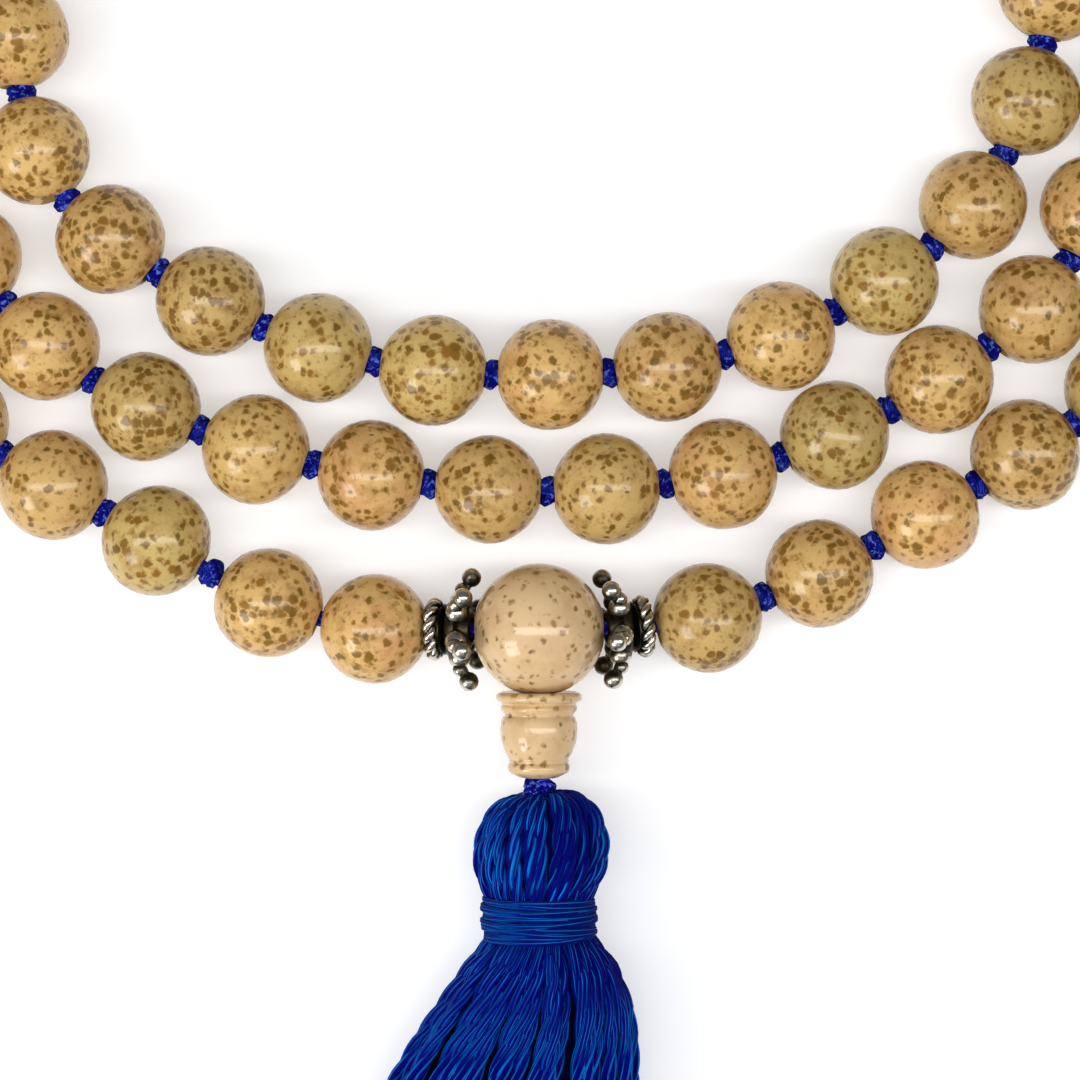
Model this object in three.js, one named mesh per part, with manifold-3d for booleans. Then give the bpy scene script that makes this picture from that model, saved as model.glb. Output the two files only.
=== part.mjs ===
// Knotted mala of 108 seed beads, laid down flat in three turns with its tassel out in front.
// Millimetres, +Z up. The tassel points towards -Y. The origin is under the middle of the whole
// piece, on the surface that it lies on. Lengths along the string are counted from the middle of
// the guru bead, out to the right, round the three turns and back in from the left.
import * as THREE from 'three';
import { mergeVertices } from 'three/addons/utils/BufferGeometryUtils.js';
import Module from 'manifold-3d';

const wasm = await Module();
wasm.setup();

// Driving dimensions
const BEAD_R = 4;
const PITCH = 8.94;
const GURU_R = 5;
const CORD_R = 0.6;
const BORE_R = 0.9;
const KNOT_R = 1.3;
const KNOT_HALF = 0.3;
const PENDANT_CORD_R = 0.8;
const PENDANT_BORE_R = 1.1;
const CLEARANCE = 0.3;
const GURU_Z = GURU_R;
const STAR_AT = 6.35;
const STAR_R = 4.5;
const STAR_SWEEP = 1.5;
const STAR_ARMS = 6;
const STAR_THICK = 1.1;
const RIGHT_STAR_TURN = (17 * Math.PI) / 180;
const RING_AT = 7.9;
const TIE_Y = -12.3;
const TASSEL_FLATTEN = 0.94;
const BEAD_SIDES = 10;
const RUN_SIDES = 8;
const SKIRT_SIDES = 12;

// The fold line crosses all six side strands at a knot. Row 1 is one bead further back.
const FOLD_Y = 55.7;
const FOLD_SLOPE = -0.066;
const FOLD_TURN = Math.atan(FOLD_SLOPE);

const SEED = { color: 0xb18a4c, roughness: 0.32, metalness: 0 };
const PALE_SEED = { color: 0xd1b58a, roughness: 0.35, metalness: 0 };
const SILVER = { color: 0xa9a6a0, roughness: 0.35, metalness: 1 };
const BLUE_CORD = { color: 0x1230a0, roughness: 0.8, metalness: 0 };
const BLUE_YARN = { color: 0x0a2c9c, roughness: 0.9, metalness: 0 };

const mala = new THREE.Group();

// ---------------------------------------------------------------- route of the string

function foldPoint(x, row = 0) {
  const step = PITCH * row;
  return [x - Math.sin(FOLD_TURN) * step, FOLD_Y + FOLD_SLOPE * x + Math.cos(FOLD_TURN) * step, BEAD_R];
}

// Points at equal angles over the back of the coil, from its right side to its left side.
function backArc(radii, heights = []) {
  const centreY = 65;
  const flatten = 0.93;
  return radii.map((radius, i) => {
    const angle = (Math.PI * (i + 1)) / (radii.length + 1);
    return [radius * Math.cos(angle), centreY + flatten * radius * Math.sin(angle), heights[i] ?? BEAD_R];
  });
}

// Each stretch runs from knot to knot: its name, how many beads it holds, and its points.
const STRETCHES = [
  ['cap_right', 0, [[5.8, 0.1, 4.95], [8.3, 0.3, 4.5]]],
  ['front_right', 3, [[12.4, 0.8, 4.05], [21.2, 4.2, 4], [29.4, 8.7, 4], [33.2, 10.9, 4]]],
  ['outer_right', 6, [
    [44, 18.2, 4], [50.6, 24.4, 4], [55.9, 31.9, 4], [59.3, 40, 4], [60.7, 47.5, 4], foldPoint(60.6),
  ]],
  ['fold_outer_right', 1, [foldPoint(60.6, 1)]],
  ['back_outer', 19, [
    ...backArc([61, 60.8, 60.2, 59.2, 57.8, 56, 54, 52.2, 50.8, 49.8, 49.2]), foldPoint(-49, 1),
  ]],
  ['fold_middle_left', 1, [foldPoint(-49)]],
  ['middle_left', 3, [[-49.2, 48.5, 4], [-48, 39.8, 4], [-45.6, 32, 4]]],
  ['front_middle', 12, [
    [-43.1, 27.8, 4], [-37.4, 21.4, 4], [-29.7, 16.8, 4], [-21.4, 13.6, 4], [-13.1, 11.7, 4],
    [-4, 10.6, 4], [5, 10.6, 4], [14, 11.8, 4], [22.5, 14.7, 4], [30.5, 19, 4], [37.8, 24.6, 4],
    [42.4, 32.2, 4], [44.2, 35.8, 4],
  ]],
  ['middle_right', 2, [[47.4, 46, 4], foldPoint(48.9)]],
  ['fold_middle_right', 1, [foldPoint(48.9, 1)]],
  ['back_middle', 15, [
    ...backArc([49.6, 49.4, 49, 48.2, 47.2, 45.8, 44, 42.2, 41, 40.2, 39.8]), foldPoint(-39.6, 1),
  ]],
  ['fold_inner_left', 1, [foldPoint(-39.6)]],
  ['front_inner', 14, [
    [-39.9, 50, 4], [-39.5, 42, 4], [-37.6, 35.1, 4], [-32.2, 29.3, 4], [-24.8, 24.8, 4],
    [-16.8, 21.3, 4], [-8, 19.6, 4], [0.5, 19.3, 4], [9.2, 19.8, 4], [18.1, 22.1, 4],
    [26.1, 26.3, 4], [32.8, 32, 4], [36.8, 39.7, 4], [38.8, 47.5, 4], foldPoint(39.6),
  ]],
  ['fold_inner_right', 1, [foldPoint(39.6, 1)]],
  ['back_crossing', 18, [
    ...backArc(
      [39.8, 39.2, 38.4, 38, 41, 50, 58.5, 61.5, 61.5, 61, 60.6],
      [4, 4, 4.3, 6, 11.6, 12, 11.6, 6, 4.3, 4, 4],
    ),
    foldPoint(-60.4, 1),
  ]],
  ['fold_outer_left', 1, [foldPoint(-60.4)]],
  ['outer_left', 7, [
    [-60.8, 49.5, 4], [-59.8, 41, 4], [-56.8, 31.5, 4], [-51.5, 22.7, 4], [-44.4, 15.7, 4],
    [-36.8, 10.9, 4], [-32.9, 8.8, 4],
  ]],
  ['front_left', 3, [[-29, 6.7, 4], [-20.7, 2.1, 4], [-12.4, 0, 4.05], [-8.3, 0, 4.5]]],
  ['cap_left', 0, [[-5.8, 0, 4.95], [0, 0, GURU_Z]]],
];

const STEPS_PER_POINT = 24;
const routePoints = [new THREE.Vector3(0, 0, GURU_Z)];
const stretchEnds = [0];
for (const [, , points] of STRETCHES) {
  for (const point of points) {
    routePoints.push(new THREE.Vector3(...point));
  }
  stretchEnds.push(routePoints.length - 1);
}
const route = new THREE.CatmullRomCurve3(routePoints, false, 'centripetal');
route.arcLengthDivisions = STEPS_PER_POINT * (routePoints.length - 1);
const lengths = route.getLengths();
const routeLength = lengths[lengths.length - 1];

// Where each stretch starts and ends along the string, its knots and its beads.
const stretch = {};
STRETCHES.forEach(([name, beadCount], i) => {
  const start = lengths[STEPS_PER_POINT * stretchEnds[i]];
  const end = lengths[STEPS_PER_POINT * stretchEnds[i + 1]];
  const pitch = (end - start) / Math.max(beadCount, 1);
  const beads = Array.from({ length: beadCount }, (_, k) => start + pitch * (k + 0.5));
  const knots = Array.from({ length: beadCount + 1 }, (_, k) => start + pitch * k);
  stretch[name] = { start, end, beads, knots };
});

// The two beads beside the left cap touch, with no knot between them.
const TOUCHING_PITCH = 8.25;
const LAST_BEAD_FROM_END = 4.2;
const besideCap = stretch.front_left;
const lastBead = besideCap.end - LAST_BEAD_FROM_END;
const nextBead = lastBead - TOUCHING_PITCH;
besideCap.knots = [
  besideCap.start, (besideCap.beads[0] + nextBead) / 2, (nextBead + lastBead) / 2, besideCap.end,
];
besideCap.beads = [besideCap.beads[0], nextBead, lastBead];

// ---------------------------------------------------------------- helpers

function facingOut(geometry) {
  const position = geometry.attributes.position;
  const index = geometry.index.array;
  const [a, b, c] = [new THREE.Vector3(), new THREE.Vector3(), new THREE.Vector3()];
  let volume = 0;
  for (let i = 0; i < index.length; i += 3) {
    a.fromBufferAttribute(position, index[i]);
    b.fromBufferAttribute(position, index[i + 1]);
    c.fromBufferAttribute(position, index[i + 2]);
    volume += a.dot(b.cross(c));
  }
  if (volume < 0) {
    for (let i = 0; i < index.length; i += 3) {
      [index[i + 1], index[i + 2]] = [index[i + 2], index[i + 1]];
    }
  }
  return geometry;
}

function closed(geometry) {
  geometry.deleteAttribute('normal');
  geometry.deleteAttribute('uv');
  return facingOut(mergeVertices(geometry, 1e-4));
}

function addPiece(name, geometry, finish) {
  const piece = new THREE.Mesh(geometry, new THREE.MeshStandardMaterial(finish));
  piece.name = name;
  mala.add(piece);
}

// The string's own axes at a length along it: sideways, along and down.
function frameAt(along) {
  const u = along / routeLength;
  const forward = route.getTangentAt(u);
  const side = forward.clone().cross(new THREE.Vector3(0, 0, -1)).normalize();
  const down = side.clone().cross(forward);
  return new THREE.Matrix4().makeBasis(side, forward, down).setPosition(route.getPointAt(u));
}

// One turned solid on the string. Each station has its place along the string and its rings, each a
// radius and an offset, so that a bead stays round and true while the string bends at its knots.
function turnedOnString(stations, sides) {
  const profile = [];
  const ringFrames = [];
  const offsets = [];
  for (const { along, rings } of stations) {
    const frame = frameAt(along);
    for (const [radius, offset] of rings) {
      profile.push(new THREE.Vector2(radius, along + offset));
      ringFrames.push(frame);
      offsets.push(offset);
    }
  }
  const geometry = new THREE.LatheGeometry(profile, sides);
  const position = geometry.attributes.position;
  const vertex = new THREE.Vector3();
  for (let i = 0; i < position.count; i += 1) {
    const ring = i % profile.length;
    vertex.fromBufferAttribute(position, i).setY(offsets[ring]).applyMatrix4(ringFrames[ring]);
    position.setXYZ(i, vertex.x, vertex.y, vertex.z);
  }
  return closed(geometry);
}

// Rings over a round bead, from one end of its bore to the other.
function beadRings(radius, endRadius, bands) {
  const last = Math.acos(endRadius / radius);
  return Array.from({ length: bands + 1 }, (_, i) => {
    const angle = last * ((2 * i) / bands - 1);
    return [radius * Math.cos(angle), radius * Math.sin(angle)];
  });
}

// A profile about the Y axis, below the guru bead and in line with it.
function turnedPendant(profile, sides, flatten = 1) {
  const points = profile.map(([radius, y]) => new THREE.Vector2(radius, y));
  return closed(new THREE.LatheGeometry(points, sides).scale(1, 1, flatten).translate(0, 0, GURU_Z));
}

function toSolid(geometry) {
  const vertProperties = new Float32Array(geometry.attributes.position.array);
  const triVerts = new Uint32Array(geometry.index.array);
  return new wasm.Manifold(new wasm.Mesh({ numProp: 3, vertProperties, triVerts }));
}

function fromSolid(solid) {
  const mesh = solid.getMesh();
  const geometry = new THREE.BufferGeometry();
  geometry.setAttribute('position', new THREE.BufferAttribute(mesh.vertProperties, 3));
  geometry.setIndex(new THREE.BufferAttribute(mesh.triVerts, 1));
  return geometry;
}

// ---------------------------------------------------------------- beads that turn on their cord

function addBeads(prefix, stretchName) {
  const rings = beadRings(BEAD_R, BORE_R, 6);
  rings.push(rings[0]);
  stretch[stretchName].beads.forEach((along, i) => {
    const geometry = turnedOnString([{ along, rings }], BEAD_SIDES);
    addPiece(`${prefix}_${String(i + 1).padStart(2, '0')}`, geometry, SEED);
  });
}

addBeads('front_bead_right', 'front_right');
addBeads('front_bead_left', 'front_left');
addBeads('middle_bead', 'front_middle');
addBeads('inner_bead', 'front_inner');

// ---------------------------------------------------------------- cords with their knots

const CORD_IN_BEAD = [[CORD_R, -3.7], [CORD_R, 3.7]];
const KNOT = [[CORD_R, -KNOT_HALF], [KNOT_R, 0], [CORD_R, KNOT_HALF]];

// Beads that touch have plain cord between them.
function cordThroughBeads(beads, knots) {
  const stations = [];
  beads.forEach((along, i) => {
    stations.push({ along, rings: CORD_IN_BEAD });
    if (beads[i + 1] - along > TOUCHING_PITCH + CLEARANCE) {
      stations.push({ along: knots[i + 1], rings: KNOT });
    }
  });
  return stations;
}

// A small round tip in the middle of a knot that bends.
const TIP_START = [[0, -0.25], [0.4, 0.1], [CORD_R, 0.3]];
const TIP_END = [[CORD_R, -0.3], [0.4, -0.1], [0, 0.25]];

const inner = stretch.front_inner;
addPiece('inner_cord', turnedOnString([
  { along: inner.start, rings: TIP_START },
  ...cordThroughBeads(inner.beads, inner.knots),
  { along: inner.end, rings: TIP_END },
], RUN_SIDES), BLUE_CORD);

const middle = stretch.front_middle;
addPiece('middle_cord', turnedOnString([
  { along: middle.start, rings: [[0, -KNOT_HALF], ...KNOT] },
  ...cordThroughBeads(middle.beads, middle.knots),
  { along: middle.end, rings: [...KNOT, [0, KNOT_HALF]] },
], RUN_SIDES), BLUE_CORD);

const frontRight = stretch.front_right;
const frontLeft = stretch.front_left;
function guruCordHalf(beads, knots, towardsGuru) {
  const stations = cordThroughBeads(beads, knots);
  stations[towardsGuru ? 0 : stations.length - 1].rings = towardsGuru
    ? [[0, -3.8], ...CORD_IN_BEAD]
    : [...CORD_IN_BEAD, [0, 3.8]];
  return stations;
}
const capStations = [-RING_AT, -STAR_AT, 0, STAR_AT, RING_AT];
const leftHalf = guruCordHalf(frontLeft.beads, frontLeft.knots, true);
const rightHalf = guruCordHalf(frontRight.beads, frontRight.knots, false);
const throughGuru = capStations.map((along) => ({
  along: along < 0 ? routeLength + along : along,
  rings: [[CORD_R, 0]],
}));
addPiece('guru_cord', turnedOnString([...leftHalf, ...throughGuru, ...rightHalf], RUN_SIDES), BLUE_CORD);

// ---------------------------------------------------------------- runs of beads with their cord

const RUN_BEAD = beadRings(BEAD_R, 1.24, 4);
const FLAT_START = [0, RUN_BEAD[0][1]];
const FLAT_END = [0, RUN_BEAD[4][1]];

function addRun(name, stretchName, tipAtStart, tipAtEnd) {
  const { start, end, beads } = stretch[stretchName];
  const stations = beads.map((along) => ({ along, rings: [...RUN_BEAD] }));
  if (tipAtStart) {
    stations.unshift({ along: start, rings: TIP_START });
  } else {
    stations[0].rings.unshift(FLAT_START);
  }
  if (tipAtEnd) {
    stations.push({ along: end, rings: TIP_END });
  } else {
    stations[stations.length - 1].rings.push(FLAT_END);
  }
  addPiece(name, turnedOnString(stations, RUN_SIDES), SEED);
}

addRun('outer_run_right', 'outer_right', true, true);
addRun('outer_run_left', 'outer_left', true, true);
addRun('middle_run_right', 'middle_right', false, true);
addRun('middle_run_left', 'middle_left', true, false);
addRun('back_run_outer', 'back_outer', true, true);
addRun('back_run_middle', 'back_middle', true, true);
addRun('back_run_crossing', 'back_crossing', true, true);
for (const turn of ['outer', 'middle', 'inner']) {
  for (const side of ['right', 'left']) {
    addRun(`fold_bead_${turn}_${side}`, `fold_${turn}_${side}`, false, false);
  }
}

// ---------------------------------------------------------------- silver caps and rope rings

function starOutline() {
  const outline = new THREE.Shape();
  const valleyR = 2.1;
  const shoulderR = 3.4;
  const halfWidth = 0.55;
  for (let arm = 0; arm < STAR_ARMS; arm += 1) {
    const angle = (2 * Math.PI * arm) / STAR_ARMS;
    const point = (radius, across) => [
      radius * Math.cos(angle) - across * Math.sin(angle),
      radius * Math.sin(angle) + across * Math.cos(angle),
    ];
    const valley = angle - Math.PI / STAR_ARMS;
    const corners = [
      [valleyR * Math.cos(valley), valleyR * Math.sin(valley)],
      point(shoulderR, -halfWidth), point(STAR_R - 0.2, -halfWidth),
      point(STAR_R - 0.2, halfWidth), point(shoulderR, halfWidth),
    ];
    corners.forEach(([x, y], i) => (arm + i === 0 ? outline.moveTo(x, y) : outline.lineTo(x, y)));
  }
  outline.closePath();
  const hole = new THREE.Path();
  hole.absarc(0, 0, BORE_R, 0, 2 * Math.PI, true);
  outline.holes.push(hole);
  return outline;
}

// The plate is swept towards the guru bead as it goes out, as a shallow crown.
function starCap(side) {
  const geometry = new THREE.ExtrudeGeometry(starOutline(), {
    depth: STAR_THICK, bevelEnabled: false, steps: 1, curveSegments: 10,
  });
  const position = geometry.attributes.position;
  for (let i = 0; i < position.count; i += 1) {
    const reach = Math.hypot(position.getX(i), position.getY(i)) / STAR_R;
    position.setZ(i, position.getZ(i) - STAR_THICK / 2 - STAR_SWEEP * reach ** 2);
  }
  geometry.rotateZ(side > 0 ? -RIGHT_STAR_TURN : 0);
  geometry.rotateX(-side * (Math.PI / 2));
  const along = side > 0 ? STAR_AT : routeLength - STAR_AT;
  return closed(geometry.applyMatrix4(frameAt(along)));
}

function ropeRing(side) {
  const rings = [
    [1.45, -0.35], [1.9, -0.6], [2.35, -0.35], [2.35, 0.35], [1.9, 0.6], [1.45, 0.35], [1.45, -0.35],
  ];
  return turnedOnString([{ along: side > 0 ? RING_AT : routeLength - RING_AT, rings }], SKIRT_SIDES);
}

for (const [word, side] of [['left', -1], ['right', 1]]) {
  addPiece(`star_cap_${word}`, starCap(side), SILVER);
  addPiece(`rope_ring_${word}`, ropeRing(side), SILVER);
}

// ---------------------------------------------------------------- guru bead, tower and pendant cord

const guruRings = beadRings(GURU_R, BORE_R, 8);
guruRings.push(guruRings[0]);
const guruBall = toSolid(turnedOnString([{ along: 0, rings: guruRings }], 14));
const downBore = toSolid(turnedPendant([
  [0, 0], [PENDANT_BORE_R, 0], [PENDANT_BORE_R, -GURU_R - 1], [0, -GURU_R - 1],
], RUN_SIDES));
addPiece('guru_bead', fromSolid(guruBall.subtract(downBore)), PALE_SEED);

addPiece('tower_bead', turnedPendant([
  [PENDANT_BORE_R, -5.3], [3, -4.4], [3.25, -4.7], [3.25, -6.3], [2.7, -6.55], [2.93, -7.5],
  [2.65, -8.6], [2.3, -9.6], [2.33, -10.5], [1.8, -11.3], [PENDANT_BORE_R, -11.3], [PENDANT_BORE_R, -5.3],
], SKIRT_SIDES), PALE_SEED);

addPiece('pendant_cord', turnedPendant([
  [0, -CORD_R - CLEARANCE], [PENDANT_CORD_R, -CORD_R - CLEARANCE], [PENDANT_CORD_R, -11.2], [0, -11.2],
], RUN_SIDES), BLUE_CORD);

// ---------------------------------------------------------------- tassel

addPiece('tie_knot', turnedPendant([
  [0, TIE_Y + 0.8], [0.9, TIE_Y + 0.65], [1.25, TIE_Y], [0.9, TIE_Y - 0.65], [0, TIE_Y - 0.8],
], RUN_SIDES), BLUE_CORD);

addPiece('tassel_head', turnedPendant([
  [0, -13.6], [1.7, -13.5], [2.7, -12.6], [3.7, -12.4], [4.8, -13.7], [5.15, -15.6], [5.05, -17.6],
  [4.3, -19.5], [3.3, -19.8], [3.3, -23.6], [0, -23.6],
], SKIRT_SIDES, TASSEL_FLATTEN), BLUE_YARN);

addPiece('tassel_wrap', turnedPendant([
  [3.62, -20.1], [4.3, -20.1], [4.45, -21.9], [4.3, -23.6], [3.62, -23.6], [3.62, -20.1],
], SKIRT_SIDES, TASSEL_FLATTEN), BLUE_YARN);

// The skirt lies on its flat underside. Each ring: y, half its width, half its height, its middle x.
function skirt(rings) {
  const profile = rings.map(([y]) => new THREE.Vector2(1, y));
  profile.unshift(new THREE.Vector2(0, rings[0][0]));
  profile.push(new THREE.Vector2(0, rings[rings.length - 1][0]));
  const edge = Math.PI / SKIRT_SIDES;
  const geometry = new THREE.LatheGeometry(profile, SKIRT_SIDES, edge);
  const position = geometry.attributes.position;
  for (let i = 0; i < position.count; i += 1) {
    const row = Math.min(Math.max((i % profile.length) - 1, 0), rings.length - 1);
    const [, halfWidth, halfHeight, middleX] = rings[row];
    position.setX(i, middleX + halfWidth * position.getX(i));
    position.setZ(i, halfHeight * (Math.cos(edge) + position.getZ(i)));
  }
  return closed(geometry);
}

addPiece('tassel_skirt_upper', skirt([
  [-23.9, 4.4, 4.9, 0], [-27.5, 6.6, 4.8, -0.5], [-34, 9.4, 4.7, -1.9], [-43, 10.6, 4.5, -3.6],
  [-52, 11.3, 4.3, -5.2],
]), BLUE_YARN);
addPiece('tassel_skirt_lower', skirt([
  [-52.3, 11.3, 4.3, -5.2], [-62, 11.9, 4.1, -6.7], [-74, 12.5, 3.8, -8.2], [-87, 13, 3.5, -9.4],
]), BLUE_YARN);

// ---------------------------------------------------------------- origin

mala.updateMatrixWorld(true);
const box = new THREE.Box3().setFromObject(mala, true);
const centre = box.getCenter(new THREE.Vector3());
mala.position.set(-centre.x, -centre.y, -box.min.z);

export default mala;
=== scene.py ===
"""Looks of a knotted mala: 108 dotted seed beads in three turns, a guru bead between silver star caps,
a tower bead and a blue yarn tassel.

Sizes are millimetres unless a name says otherwise. Places are counted from the middle of the guru
bead: x to the right, y away from the tassel, z up from the surface that the mala lies on.
"""

import math
import random

import bmesh
import bpy
import numpy as np
from mathutils import Matrix, Vector, kdtree, noise


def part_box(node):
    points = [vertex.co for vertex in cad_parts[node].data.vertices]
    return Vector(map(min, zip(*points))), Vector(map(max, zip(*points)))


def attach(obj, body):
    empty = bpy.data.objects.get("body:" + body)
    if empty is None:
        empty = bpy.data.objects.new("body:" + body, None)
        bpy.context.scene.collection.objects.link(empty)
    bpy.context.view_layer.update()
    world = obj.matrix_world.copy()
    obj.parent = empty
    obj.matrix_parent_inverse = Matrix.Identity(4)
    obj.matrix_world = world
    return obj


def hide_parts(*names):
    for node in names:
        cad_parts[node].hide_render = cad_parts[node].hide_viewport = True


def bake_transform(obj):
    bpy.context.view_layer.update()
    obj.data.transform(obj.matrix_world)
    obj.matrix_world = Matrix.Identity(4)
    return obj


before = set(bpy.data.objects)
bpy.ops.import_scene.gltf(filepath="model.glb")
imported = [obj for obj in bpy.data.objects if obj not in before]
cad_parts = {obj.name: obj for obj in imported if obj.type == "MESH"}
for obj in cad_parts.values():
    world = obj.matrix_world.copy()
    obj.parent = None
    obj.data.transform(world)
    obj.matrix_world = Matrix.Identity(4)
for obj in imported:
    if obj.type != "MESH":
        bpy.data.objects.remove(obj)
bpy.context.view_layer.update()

bl_info = {
    "name": "Knotted Mala",
    "version": (1, 0, 0),
    "blender": (4, 5, 0),
    "location": "3D View > Sidebar > Mala",
    "description": "Seed beads, knotted cord, silver caps and tassel of a mala, built on its packed frame",
    "category": "Object",
}

MM = 0.001
FULL_TURN = 2 * math.pi

GURU_LOW, GURU_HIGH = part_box("guru_bead")
GURU = (GURU_LOW + GURU_HIGH) / 2
BEAD_LOW, BEAD_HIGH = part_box("middle_bead_06")
PLAIN_BEAD_DIAMETER = (BEAD_HIGH - BEAD_LOW).z
GURU_DIAMETER = (GURU_HIGH - GURU_LOW).z

# The string: its pitch from knot to knot, and where things sit on it
PITCH = 8.94
TOUCHING_PITCH = 8.25
BEAD_Z = 4
GURU_Z = 5
GURU_R = 5
CORD_R = 0.6
BORE_R = 0.9
PENDANT_BORE_R = 1.1
MOUTH_AT = 3.8
LAST_BEAD_TO_RING = 4.2
STAR_AT = 6.35
LEFT_STAR_TURN = math.radians(8)
RIGHT_STAR_TURN = math.radians(17)
RING_AT = 7.9
FOLD_Y = 55.7
FOLD_SLOPE = -0.066
FOLD_TURN = math.atan(FOLD_SLOPE)
STEPS_PER_POINT = 24

TIE_Y = -12.3
TASSEL_FLATTEN = 0.94


def place(x, y, z):
    """A point in the model's own frame, from millimetres about the guru bead."""
    return GURU + Vector((x, y, z - GURU_Z)) * MM


# ---------------------------------------------------------------- route of the string


def fold_point(x, row=0):
    step = PITCH * row
    return (x - math.sin(FOLD_TURN) * step, FOLD_Y + FOLD_SLOPE * x + math.cos(FOLD_TURN) * step, BEAD_Z)


def back_arc(radii, heights=()):
    """Points at equal angles over the back of the coil, from its right side to its left side."""
    centre_y = 65
    flatten = 0.93
    points = []
    for i, radius in enumerate(radii):
        angle = math.pi * (i + 1) / (len(radii) + 1)
        height = heights[i] if heights else BEAD_Z
        points.append((radius * math.cos(angle), centre_y + flatten * radius * math.sin(angle), height))
    return points


# Each stretch runs from knot to knot: its name, how many beads it holds, and its points.
STRETCHES = [
    ("cap_right", 0, [(5.8, 0.1, 4.95), (8.3, 0.3, 4.5)]),
    ("front_right", 3, [(12.4, 0.8, 4.05), (21.2, 4.2, 4), (29.4, 8.7, 4), (33.2, 10.9, 4)]),
    ("outer_right", 6, [
        (44, 18.2, 4), (50.6, 24.4, 4), (55.9, 31.9, 4), (59.3, 40, 4), (60.7, 47.5, 4), fold_point(60.6),
    ]),
    ("fold_outer_right", 1, [fold_point(60.6, 1)]),
    ("back_outer", 19, [
        *back_arc([61, 60.8, 60.2, 59.2, 57.8, 56, 54, 52.2, 50.8, 49.8, 49.2]), fold_point(-49, 1),
    ]),
    ("fold_middle_left", 1, [fold_point(-49)]),
    ("middle_left", 3, [(-49.2, 48.5, 4), (-48, 39.8, 4), (-45.6, 32, 4)]),
    ("front_middle", 12, [
        (-43.1, 27.8, 4), (-37.4, 21.4, 4), (-29.7, 16.8, 4), (-21.4, 13.6, 4), (-13.1, 11.7, 4),
        (-4, 10.6, 4), (5, 10.6, 4), (14, 11.8, 4), (22.5, 14.7, 4), (30.5, 19, 4), (37.8, 24.6, 4),
        (42.4, 32.2, 4), (44.2, 35.8, 4),
    ]),
    ("middle_right", 2, [(47.4, 46, 4), fold_point(48.9)]),
    ("fold_middle_right", 1, [fold_point(48.9, 1)]),
    ("back_middle", 15, [
        *back_arc([49.6, 49.4, 49, 48.2, 47.2, 45.8, 44, 42.2, 41, 40.2, 39.8]), fold_point(-39.6, 1),
    ]),
    ("fold_inner_left", 1, [fold_point(-39.6)]),
    ("front_inner", 14, [
        (-39.9, 50, 4), (-39.5, 42, 4), (-37.6, 35.1, 4), (-32.2, 29.3, 4), (-24.8, 24.8, 4),
        (-16.8, 21.3, 4), (-8, 19.6, 4), (0.5, 19.3, 4), (9.2, 19.8, 4), (18.1, 22.1, 4),
        (26.1, 26.3, 4), (32.8, 32, 4), (36.8, 39.7, 4), (38.8, 47.5, 4), fold_point(39.6),
    ]),
    ("fold_inner_right", 1, [fold_point(39.6, 1)]),
    ("back_crossing", 18, [
        *back_arc(
            [39.8, 39.2, 38.4, 38, 41, 50, 58.5, 61.5, 61.5, 61, 60.6],
            [4, 4, 4.3, 6, 11.6, 12, 11.6, 6, 4.3, 4, 4],
        ),
        fold_point(-60.4, 1),
    ]),
    ("fold_outer_left", 1, [fold_point(-60.4)]),
    ("outer_left", 7, [
        (-60.8, 49.5, 4), (-59.8, 41, 4), (-56.8, 31.5, 4), (-51.5, 22.7, 4), (-44.4, 15.7, 4),
        (-36.8, 10.9, 4), (-32.9, 8.8, 4),
    ]),
    ("front_left", 3, [(-29, 6.7, 4), (-20.7, 2.1, 4), (-12.4, 0, 4.05), (-8.3, 0, 4.5)]),
    ("cap_left", 0, [(-5.8, 0, 4.95), (0, 0, GURU_Z)]),
]

# Stretches whose beads turn one by one, with the first words of their solids' names
SINGLE_BEADS = {
    "front_right": "front_bead_right",
    "front_left": "front_bead_left",
    "front_middle": "middle_bead",
    "front_inner": "inner_bead",
}


def list_runs():
    """For each other stretch: the solid that it replaces, and the body that it rides on."""
    runs = {}
    for turn, side in (("outer", "right"), ("outer", "left"), ("middle", "right"), ("middle", "left")):
        runs[f"{turn}_{side}"] = (f"{turn}_run_{side}", "coil")
    for turn in ("outer", "middle", "inner"):
        for side in ("right", "left"):
            runs[f"fold_{turn}_{side}"] = (f"fold_bead_{turn}_{side}", "fold_row")
    for turn in ("outer", "middle", "crossing"):
        runs[f"back_{turn}"] = (f"back_run_{turn}", "back_turns")
    return runs


RUNS = list_runs()


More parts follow.
